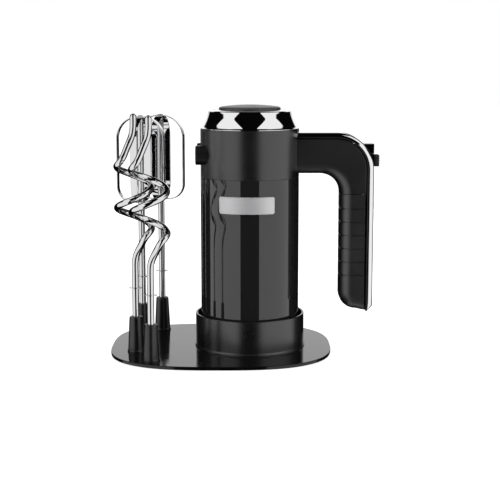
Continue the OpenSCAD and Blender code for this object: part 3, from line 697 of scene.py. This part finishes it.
def cradle():
    profile = filleted(
        [
            (0, PLATE_TOP), (CRADLE_R + 0.9, PLATE_TOP), (CRADLE_R + 0.9, PLATE_TOP + 0.9, 0.4),
            (CRADLE_R, PLATE_TOP + 1.9, 1.2), (CRADLE_R, CRADLE_TOP, 0.55),
            (CRADLE_INNER, CRADLE_TOP, 0.55), (CRADLE_INNER, CRADLE_FLOOR, 1.2), (0, CRADLE_FLOOR),
        ]
    )
    finish(turned("cradle", profile, (AXIS_X, 0, 0), 192), ["cradle_collar"])


def pegs():
    bore = ROD_R + 0.05
    profile = filleted(
        [
            (0, PLATE_TOP), (PEG_FOOT_R, PLATE_TOP), (PEG_FOOT_R, PLATE_TOP + 1.3, 0.4),
            (PEG_FOOT_R - 0.55, PLATE_TOP + 2, 0.5), (PEG_TIP_R + 0.05, PEG_TOP - 1.9, 0.2),
            (PEG_TIP_R, PEG_TOP - 1.5, 0.2), (PEG_TIP_R - 0.25, PEG_TOP, 0.5), (bore + 0.5, PEG_TOP, 0.1),
            (bore, PEG_TOP - 0.5, 0.1), (bore, PEG_FLOOR), (0, PEG_FLOOR),
        ]
    )
    for side in ("front_right", "front_left", "back_left", "back_right"):
        spot = middle(f"peg_{side}")
        finish(turned(f"peg_{side}_cone", profile, (spot.x, spot.y, 0), 72), [f"peg_{side}"])


# ---------- barrel ----------


def barrel():
    axis = (AXIS_X, 0, 0)
    inner = BODY_R - WALL
    sleeve = filleted(
        [
            (inner, SLEEVE_LOW), (BODY_R, SLEEVE_LOW, 0.4), (BODY_R, SEAM, 0.3), (inner, SEAM),
        ]
    )
    finish(turned("gloss_sleeve", sleeve, axis, 256), ["lower_sleeve"])
    housing = filleted(
        [
            (BODY_R, SEAM, 0.3), (BODY_R, HOUSING_TOP, 0.35), (BODY_R - 2.5, HOUSING_TOP, 0.2),
            (BODY_R - 2.5, SEAM + 2), (BODY_R - 4.8, SEAM + 2), (BODY_R - 4.8, SEAM - 7),
            (BODY_R - WALL - 0.1, SEAM - 7), (BODY_R - WALL - 0.1, SEAM),
        ]
    )
    shell = turned("satin_housing", housing, axis, 256)
    holes = [
        turned("hole", [(0, 0), (8.52, 0), (8.52, 20), (0, 20)], (AXIS_X - 50, y, SPINDLE_Z), 64, "X")
        for y in (-SPINDLE_Y, SPINDLE_Y)
    ]
    finish(cut(shell, *holes), ["upper_housing"])
    flare = arc(73.2, 223, 37.4, 215.4, 191.9, 28)
    cap = (
        filleted([(41.3, 200), (43.8, 200, 0.2), (43.8, 200.5, 0.25)] + [flare[0]])[:-1]
        + flare
        + [(36.25, 215.55), (35.8, 215.85), (35.2, 216.05)]
        + [(27.7, 217), (27.7, 214.4), (33.6, 213), (34.6, 209), (36.6, 205), (39.1, 201.4)]
        + [(39.1, 196.2), (41.3, 196.2)]
    )
    finish(turned("chrome_nose", cap, axis, 256), ["nose_cap"])
    disc = [(0, DISC_LOW), (DISC_R, DISC_LOW), (DISC_R, 217.9)]
    disc += [(27.4, 218.35), (27.0, 218.8), (26.4, 219.1)]
    disc += arc(0, NOSE_TOP - CROWN_R, CROWN_R, 82.5, 90, 16)
    disc[-1] = (0, NOSE_TOP)
    finish(turned("nose_disc", disc, axis, 160), ["cap_disc"])


def badge():
    """A blank plate that follows the barrel, with rounded corners and a raised rim."""
    start, sweep = math.radians(BADGE_START), math.radians(BADGE_SWEEP)
    half_w, half_h = sweep * BODY_R / 2, (BADGE_HIGH - BADGE_LOW) / 2
    corner, piece = 1.6, 1.2
    a, b = half_w - corner, half_h - corner
    edge = (
        arc(a, b, corner, 0, 90, 6)
        + arc(-a, b, corner, 90, 180, 6)
        + arc(-a, -b, corner, 180, 270, 6)
        + arc(a, -b, corner, 270, 360, 6)
    )
    base = []
    for i, p in enumerate(edge):
        q = edge[(i + 1) % len(edge)]
        parts = max(1, int(math.dist(p, q) / piece))
        for k in range(parts):
            base.append((p[0] + (q[0] - p[0]) * k / parts, p[1] + (q[1] - p[1]) * k / parts))

    def bent(x, z, out):
        a = start + sweep / 2 + x / BODY_R
        r = BODY_R + out
        return (AXIS_X + r * math.cos(a), r * math.sin(a), (BADGE_LOW + BADGE_HIGH) / 2 + z)

    # How far in each ring of the edge lies, and how far out from the barrel
    rim = (
        (0, 0), (0, BADGE_T - 0.3), (0.09, BADGE_T - 0.09),
        (0.3, BADGE_T), (1.1, BADGE_T), (1.3, BADGE_T - 0.25),
    )
    rings = []
    for inset, out in rim:
        kx, kz = (half_w - inset) / half_w, (half_h - inset) / half_h
        rings.append([bent(x * kx, z * kz, out) for x, z in base])
    points, faces = loft(rings, close_ends=False)

    # The face and the back are filled with upright strips, so that the plate stays curved
    upper = sorted((i for i, (x, z) in enumerate(base) if z > 0), key=lambda i: base[i])
    lower = sorted((i for i, (x, z) in enumerate(base) if z <= 0), key=lambda i: base[i])
    strips = list(zip(lower, lower[1:], upper[1:], upper))
    face = (len(rings) - 1) * len(base)
    faces += [tuple(face + i for i in strip) for strip in strips]
    faces += [tuple(reversed(strip)) for strip in strips]
    finish(make_object("badge_blank", points, faces), ["badge_plate"])


def collars():
    rings = []
    for y in (-SPINDLE_Y, SPINDLE_Y):
        profile = filleted(
            [
                (COLLAR_BORE, COLLAR_OUT, 0.3), (COLLAR_R - 0.6, COLLAR_OUT, 0.4),
                (COLLAR_R, COLLAR_OUT + 0.7, 0.5), (COLLAR_R, COLLAR_ROOT), (COLLAR_BORE, COLLAR_ROOT),
            ]
        )
        rings.append(turned("collar", profile, (AXIS_X, y, SPINDLE_Z), 96, "X"))
    finish(joined("collar_rings", rings), ["socket_collars"])


# ---------- handle ----------


def handle_outline(top, back, inner):
    """The handle's side outline, drawn in by `top`, `back` and `inner`."""
    r_out = CORNER_R - (top + back) / 2
    back_x = HANDLE_BACK - back
    return (
        [(36, ARM_TOP - top)]
        + [(36 + (back_x - r_out - 36) * k / 6, ARM_TOP - top) for k in range(1, 6)]
        + arc(back_x - r_out, ARM_TOP - top - r_out, r_out, 90, 0, 32)
        + [(back_x, 163 + (41.4 + inner - 163) * k / 12) for k in range(1, 12)]
        + [(back_x, 41.4 + inner), (min(back_x - 0.4, 105.9), HANDLE_FOOT + inner)]
        + arc(HANDLE_FRONT + 15, 53.2, 15 - inner, 270, 180, 20)
        + [(HANDLE_FRONT + inner, 54 + (142 - 54) * k / 44) for k in range(1, 44)]
        + arc(HANDLE_FRONT - FINGER_R, ARM_BOTTOM - FINGER_R, FINGER_R + inner, 0, 90, 24)
        + [(60, ARM_BOTTOM + inner), (52, ARM_BOTTOM + inner), (44, ARM_BOTTOM + inner)]
        + [(36, ARM_BOTTOM + inner)]
    )


def handle_slab(name, top, back, inner, half, across, outer, deep, steps=10):
    """The outline as a slab with rounded edges: over `across` of its width, `outer` and `deep` inwards."""
    rings = []
    turns = [(-1, steps - k) for k in range(steps + 1)] + [(1, k) for k in range(steps + 1)]
    for side, k in turns:
        a = math.pi / 2 * k / steps
        y = side * (half - across + across * math.sin(a))
        inset = 1 - math.cos(a)
        outline = handle_outline(top + outer * inset, back + outer * inset, inner + deep * inset)
        rings.append([(AXIS_X + x, y, z) for x, z in outline])
    return make_object(name, *loft(rings))


def body_space():
    """The barrel's own space, for cutting the handle's root to it."""
    r, low, high = BODY_R + 0.02, 90, 220
    return turned("space", [(0, low), (r, low), (r, high), (0, high)], (AXIS_X, 0, 0), 256)


def back_openings():
    """The openings for the switch guide and the turbo button."""
    return [
        box("slot", (93.8, -POD_W / 2 - 0.2, POD_LOW - 0.2), (120, POD_W / 2 + 0.2, POD_TOP + 0.3)),
        box("slot", (98, -5.7, TURBO_Z - TURBO_H / 2 - 0.3), (120, 5.7, TURBO_Z + TURBO_H / 2 + 0.3)),
    ]


def handle():
    """The black arm, hollow inside, and the soft grip with its grooves."""
    far = 140
    shell = handle_slab("handle_arm", SHELL_TOP, SHELL_BACK, 0, HANDLE_HALF, 9, 1.5, 12)
    hollow = handle_slab("hollow", SHELL_TOP - 3, SHELL_BACK - 3, 4.2, 9.8, 7, 1, 9.5, 4)
    cut(hollow, box("root", (20, -20, 140), (52, 20, 210)))
    below = box("below", (20, -20, 0), (103.1, 20, GRIP_TOP))
    cut(shell, hollow, below, body_space())
    finish(shell, ["handle_shell"])

    grip = handle_slab("soft_grip", SHELL_TOP, SHELL_BACK, 0, HANDLE_HALF, 9, 1.5, 12)
    core = handle_slab("core", SHELL_TOP, SHELL_BACK, GRIP_T, HANDLE_HALF - GRIP_T, 8, 1.5, 11, 6)
    over = box("over", (20, -20, GRIP_TOP - 0.5), (far, 20, 220))
    behind = box("behind", (GRIP_BACK, -20, 20), (far, 20, 220))
    grooves = []
    for k in range(GROOVES):
        z = GROOVE_TOP - GROOVE_STEP * k
        outer = handle_slab("band", -20, -40, -20, 40, 1, 0, 0, 1)
        inner = handle_slab("band", SHELL_TOP, -60, 1.3, HANDLE_HALF - 1.1, 8.2, 1.5, 11.5, 6)
        beneath = box("beneath", (0, -50, -20), (200, 50, z - GROOVE_W))
        above = box("above", (0, -50, z), (200, 50, 260))
        grooves.append(cut(outer, inner, beneath, above))
    cut(grip, core, over, behind, *grooves)
    finish(grip, ["grip_sleeve"])


def handle_back():
    """The dark line and the bright trim that wrap the outside of the handle."""
    bands = (
        (
            "spine_band", "handle_spine", SHELL_TOP, SHELL_BACK,
            TRIM_ARM, TRIM_BACK, HANDLE_HALF - 0.6, (1, 0.6, 0.6, 4),
        ),
        ("chrome_trim", "handle_trim", TRIM_ARM, TRIM_BACK, 0, 0, HANDLE_HALF, (4.2, 4.6, 3, 12)),
    )
    for name, cad, under_top, under_back, top, back, half, rounding in bands:
        inside = handle_slab("inside", under_top, under_back, -40, HANDLE_HALF + 5, 1, 0, 0, 1)
        under = box("under", (20, -25, 0), (103, 25, ARM_BOTTOM))
        band = handle_slab(name, top, back, 0, half, *rounding)
        cut(band, inside, under, body_space(), *back_openings())
        finish(band, [cad])


# ---------- controls ----------


def controls():
    face = HANDLE_BACK + 0.2
    knob_mid = (KNOB_LOW + KNOB_HIGH) / 2
    pod = joined_solid(
        "switch_guide",
        box("pod", (103.2, -POD_W / 2, POD_LOW), (face, POD_W / 2, POD_SPLIT - 0.15)),
        box("tab", (102, -POD_W / 2 - 1.7, POD_LOW - 3), (103.4, POD_W / 2 + 1.7, POD_LOW + 10)),
    )
    cut(
        pod,
        box("slot", (100, -2.2, knob_mid - 14.2), (120, 2.2, knob_mid + 4.2)),
        box("track", (100, -5, knob_mid - 16.4), (105.6, 5, knob_mid + 5.2)),
    )
    finish(bevelled(pod, 0.25), ["switch_pod"])

    button = box("eject_key", (98.4, -POD_W / 2 + 0.1, POD_SPLIT + 0.1), (face, POD_W / 2 - 0.1, POD_TOP))
    finish(bevelled(button, 0.6, 4), ["eject_button"])

    grip = box("knob", (HANDLE_BACK + 0.3, -6, KNOB_LOW), (KNOB_BACK, 6, KNOB_HIGH))
    bevelled(grip, 1.2, 5)
    groove = box("groove", (KNOB_BACK - 0.6, -8, KNOB_LOW + 1.5), (KNOB_BACK + 1, 8, KNOB_LOW + 2.1))
    grown(groove, ROW, Count=4, Step=(0, 0, 2.25 * MM), Finish=MATERIALS["knob_grey"])
    cut(grip, groove)
    stem = box("stem", (101.2, -1.9, knob_mid - 1.9), (HANDLE_BACK + 1, 1.9, knob_mid + 3.9))
    flange = box("flange", (102.2, -4.6, knob_mid - 3.9), (105.2, 4.6, knob_mid + 4.9))
    knob = joined_solid("slider_knob", grip, stem, flange)
    finish(bevelled(knob, 0.15, 2), ["speed_slider"])

    low, high = TURBO_Z - TURBO_H / 2, TURBO_Z + TURBO_H / 2
    out = HANDLE_BACK + 0.6
    lower = bevelled(box("lower", (103.6, -5.5, low), (out, 5.5, TURBO_Z - 0.5)), 0.5, 4)
    upper = bevelled(box("upper", (103.6, -5.5, TURBO_Z + 0.5), (out, 5.5, high)), 0.5, 4)
    bridge = box("bridge", (103.8, -5.3, TURBO_Z - 2), (out - 0.8, 5.3, TURBO_Z + 2))
    plunger = turned("plunger", [(0, 0), (1.5, 0), (1.5, 3), (0, 3)], (AXIS_X + 101.6, 0, TURBO_Z), 24, "X")
    finish(joined_solid("turbo_key", lower, upper, bridge, plunger), ["turbo_button"])


def joined_solid(name, first, *others):
    """Several solids fused into one."""
    for other in others:
        step = first.modifiers.new("join", "BOOLEAN")
        step.object = other
        step.operation = "UNION"
        step.solver = "EXACT"
        bake(first)
    for other in others:
        bpy.data.objects.remove(other)
    first.name = name
    return first


# ---------- attachments ----------


def path_object(name, points, thickness, closed=False):
    """A line of edges with a thickness at each point."""
    mesh = bpy.data.meshes.new(name)
    edges = [(i, i + 1) for i in range(len(points) - 1)]
    if closed:
        edges.append((len(points) - 1, 0))
    mesh.from_pydata([Vector(p) * MM for p in points], edges, [])
    attribute = mesh.attributes.new("thickness", "FLOAT", "POINT")
    attribute.data.foreach_set("value", thickness)
    thing = bpy.data.objects.new(name, mesh)
    bpy.context.scene.collection.objects.link(thing)
    return thing


def hook_point(z):
    """The hook's centre line: a shank, a blend out to the coil, the coil, a blend back, a tip."""
    r, angle = HOOK_R, 180 + 360 * (z - COIL_HIGH) / HOOK_PITCH
    if z < COIL_LOW or z > COIL_HIGH:
        below = z < COIL_LOW
        rise = BLEND_LOW if below else BLEND_HIGH
        t = min(1, (COIL_LOW - z if below else z - COIL_HIGH) / rise)
        r = HOOK_R * (1 - t) ** 3 * (1 + 3 * t)
        swing = 360 / HOOK_PITCH * rise * t * (1 - t) ** 3
        angle = -swing if below else 180 + swing
    a = math.radians(angle)
    return r * math.cos(a), r * math.sin(a), z


def hooks():
    steel = MATERIALS["polished_steel"]
    heights = [SHANK_LOW, SHANK_LOW + 0.25, SHANK_LOW + 0.7, 30, 50, 70]
    heights += [COIL_LOW - BLEND_LOW + BLEND_LOW * k / 50 for k in range(50)]
    heights += [COIL_LOW + (COIL_HIGH - COIL_LOW) * k / 120 for k in range(120)]
    heights += [COIL_HIGH + BLEND_HIGH * k / 60 for k in range(61)]
    dome = [math.radians(a) for a in range(0, 90, 9)]
    heights += [HOOK_TIP - ROD_R + ROD_R * math.sin(a) for a in dome]
    thickness = [0.82, 0.94] + [1] * (len(heights) - len(dome) - 2)
    thickness += [max(math.cos(a), 0.05) for a in dome]
    for side in ("left", "right"):
        spot = middle(f"peg_front_{side}")
        points = [(spot.x + x, spot.y + y, z) for x, y, z in map(hook_point, heights)]
        rod = path_object(f"hook_{side}_steel", points, thickness)
        grown(rod, ROD, Rod_Radius=ROD_R * MM, Sides=40, Finish=steel)
        finish(rod, [f"hook_{side}_rod"])
        washer(f"hook_{side}_stop", spot, [f"hook_{side}_washer"])


def washer(name, spot, nodes):
    profile = filleted([(ROD_R, 0), (WASHER_R, 0, 0.3), (WASHER_R, 0.8, 0.3), (ROD_R, 0.8)])
    return finish(turned(name, profile, (spot.x, spot.y, WASHER_Z), 64), nodes)


def loop_path(low, high):
    """The middle line of a strip loop, drawn level: x is across and y is height."""
    half = LOOP_HALF - STRIP_T / 2
    r_top, r_low = 21 - STRIP_T / 2, 15 - STRIP_T / 2
    z0, z1 = low + STRIP_T / 2, high - STRIP_T / 2
    points = (
        arc(half - r_low, z0 + r_low, r_low, 270, 360, 24)
        + arc(half - r_top, z1 - r_top, r_top, 0, 90, 30)
        + arc(-half + r_top, z1 - r_top, r_top, 90, 180, 30)
        + arc(-half + r_low, z0 + r_low, r_low, 180, 270, 24)
    )
    return [(x, y, 0) for x, y in points]


def beaters():
    steel = MATERIALS["polished_steel"]
    top = LOOP_HIGH - 2 * STRIP_T
    for side in ("left", "right"):
        spot = middle(f"peg_back_{side}")
        shaft = filleted(
            [
                (0, SHANK_LOW), (ROD_R - 0.5, SHANK_LOW, 0.2), (ROD_R, SHANK_LOW + 0.8, 0.2),
                (ROD_R, WASHER_Z),
                (WASHER_R, WASHER_Z, 0.3), (WASHER_R, WASHER_Z + 0.8, 0.3), (ROD_R, WASHER_Z + 0.8),
                (ROD_R, top), (1.8, top), (1.8, LOOP_HIGH), (2.8, LOOP_HIGH, 0.2),
                (2.1, LOOP_HIGH + 0.8, 0.5), (0, LOOP_HIGH + 0.8),
            ]
        )
        finish(turned(f"beater_{side}_stem", shaft, (spot.x, spot.y, 0), 64), [f"beater_{side}_shaft"])
        for kind, turn, low, high in (
            ("outer", 0, LOOP_LOW, LOOP_HIGH),
            ("inner", 90, LOOP_LOW + STRIP_T, LOOP_HIGH - STRIP_T),
        ):
            path = loop_path(low, high)
            loop = path_object(f"beater_{side}_{kind}_strip", path, [1.0] * len(path), closed=True)
            grown(
                loop, STRIP, Strip_Width=STRIP_W * MM, Strip_Thickness=STRIP_T * MM,
                Edge_Radius=0.3 * MM, Finish=steel,
            )
            stand_up = (
                Matrix.Translation(Vector((spot.x, spot.y, 0)) * MM)
                @ Matrix.Rotation(math.radians(BEATER_TURN + turn), 4, "Z")
                @ Matrix.Rotation(math.pi / 2, 4, "X")
            )
            loop.data.transform(stand_up)
            finish(loop, [f"beater_{side}_{kind}_loop"])


def springs():
    """The return springs of the eject and turbo buttons, drawn as fixed coils; in the mixer they close up
    as the buttons go in.
    """
    turns, steps = 4, 96
    for button, coil_r, wire_r, travel in (("eject", 3.6, 0.4, 4), ("turbo", 2.4, 0.3, 1.5)):
        cad = f"{button}_spring"
        low, high = (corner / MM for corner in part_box(cad))
        spot = middle(cad)
        length = high.x - low.x
        points = []
        for i in range(steps + 1):
            a = math.tau * turns * i / steps
            x = low.x + wire_r + (length - 2 * wire_r) * i / steps
            points.append((x, spot.y + coil_r * math.cos(a), spot.z + coil_r * math.sin(a)))
        coil = path_object(f"{button}_coil", points, [1.0] * len(points))
        grown(coil, ROD, Rod_Radius=wire_r * MM, Sides=12, Finish=MATERIALS[SLOT_OF[cad]])
        finish(coil, [cad])
        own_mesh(coil)


base_plate()
cradle()
pegs()
barrel()
badge()
collars()
handle()
handle_back()
controls()
springs()
hooks()
beaters()

# ---------- studio ----------


def world_light():
    """White panels to the left and right, a dark front, back and ceiling, and a white view."""
    world = bpy.data.worlds.new("Studio")
    bpy.context.scene.world = world
    world.use_nodes = True
    tree = world.node_tree
    tree.nodes.clear()
    link = tree.links.new
    out = tree.nodes.new("ShaderNodeOutputWorld")
    place = tree.nodes.new("ShaderNodeTexCoord")
    split = tree.nodes.new("ShaderNodeSeparateXYZ")
    link(place.outputs["Generated"], split.inputs["Vector"])
    x, y, z = split.outputs
    side = math_node(tree, "ABSOLUTE", x)
    front = math_node(tree, "MULTIPLY", y, -1)
    azimuth = math_node(tree, "ARCTAN2", side, front)
    height = math_node(tree, "ARCSINE", z)
    degree = math.radians(1)
    widens = map_range(tree, height, 15 * degree, 34 * degree, 21 * degree, 46 * degree)
    narrows = map_range(tree, height, 38 * degree, 62 * degree, 0, 17 * degree)
    inner = math_node(tree, "SUBTRACT", widens, narrows)
    past = math_node(tree, "SUBTRACT", azimuth, inner)
    begins = map_range(tree, past, 0, 1.5 * degree, 0, 1)
    waist = map_range(tree, height, 8 * degree, 20 * degree, 0, 26 * degree)
    hip = map_range(tree, height, 28 * degree, 36 * degree, 0, 26 * degree)
    rear = math_node(tree, "SUBTRACT", math_node(tree, "ADD", azimuth, waist), hip)
    ends = map_range(tree, rear, 104 * degree, 108 * degree, 1, 0)
    under = map_range(tree, height, 64 * degree, 68 * degree, 1, 0)
    panel = math_node(tree, "MULTIPLY", math_node(tree, "MULTIPLY", begins, ends), under)
    behind = map_range(tree, azimuth, 150 * degree, 158 * degree, 0, 1)
    above = map_range(tree, height, 0, 2 * degree, 0, 1)
    low = map_range(tree, height, 24 * degree, 30 * degree, 1, 0)
    backdrop = math_node(tree, "MULTIPLY", math_node(tree, "MULTIPLY", behind, above), low)
    light = math_node(tree, "MULTIPLY_ADD", backdrop, 1.05, 0.002)
    light = math_node(tree, "MULTIPLY_ADD", panel, 0.92, light)
    rays = tree.nodes.new("ShaderNodeLightPath")
    shown = tree.nodes.new("ShaderNodeMix")
    shown.data_type = "FLOAT"
    link(rays.outputs["Is Camera Ray"], shown.inputs["Factor"])
    link(light, shown.inputs["A"])
    shown.inputs["B"].default_value = 1.0
    back = tree.nodes.new("ShaderNodeBackground")
    back.inputs["Color"].default_value = (1, 1, 1, 1)
    link(shown.outputs["Result"], back.inputs["Strength"])
    link(back.outputs["Background"], out.inputs["Surface"])


def area_light(name, place, aim, size, power):
    lamp = bpy.data.lights.new(name, "AREA")
    lamp.shape = "RECTANGLE"
    lamp.size, lamp.size_y = size
    lamp.energy = power
    thing = bpy.data.objects.new(name, lamp)
    thing.location = place
    thing.rotation_euler = (Vector(aim) - Vector(place)).to_track_quat("-Z", "Y").to_euler()
    bpy.context.scene.collection.objects.link(thing)
    return thing


def studio():
    bpy.context.scene.view_settings.view_transform = "Standard"
    world_light()
    over = area_light("Overhead", (0, 0.1, 1.6), (0, 0, 0), (2.4, 2.4), 16)
    over.visible_glossy = False
    over.visible_camera = False
    mesh = bpy.data.meshes.new("floor")
    r = 6
    mesh.from_pydata([(-r, -r, 0), (r, -r, 0), (r, r, 0), (-r, r, 0)], [], [(0, 1, 2, 3)])
    floor = bpy.data.objects.new("floor", mesh)
    bpy.context.scene.collection.objects.link(floor)
    paper = bpy.data.materials.new("Paper")
    paper.use_nodes = True
    shader = paper.node_tree.nodes["Principled BSDF"]
    shader.inputs["Base Color"].default_value = (0.9, 0.9, 0.9, 1)
    shader.inputs["Roughness"].default_value = 1.0
    shader.inputs["Emission Color"].default_value = (1, 1, 1, 1)
    shader.inputs["Emission Strength"].default_value = 0.8
    mesh.materials.append(paper)
    floor.visible_glossy = False
    floor.visible_diffuse = False


def camera():
    lens = bpy.data.cameras.new("camera")
    lens.lens = 86.4
    lens.sensor_width = 36
    thing = bpy.data.objects.new("camera", lens)
    thing.location = (AXIS_X * MM + 0.0002, -1.07236, 0.25885)
    thing.rotation_euler = (math.radians(81.07), 0, 0)
    bpy.context.scene.collection.objects.link(thing)
    bpy.context.scene.camera = thing


camera()
studio()
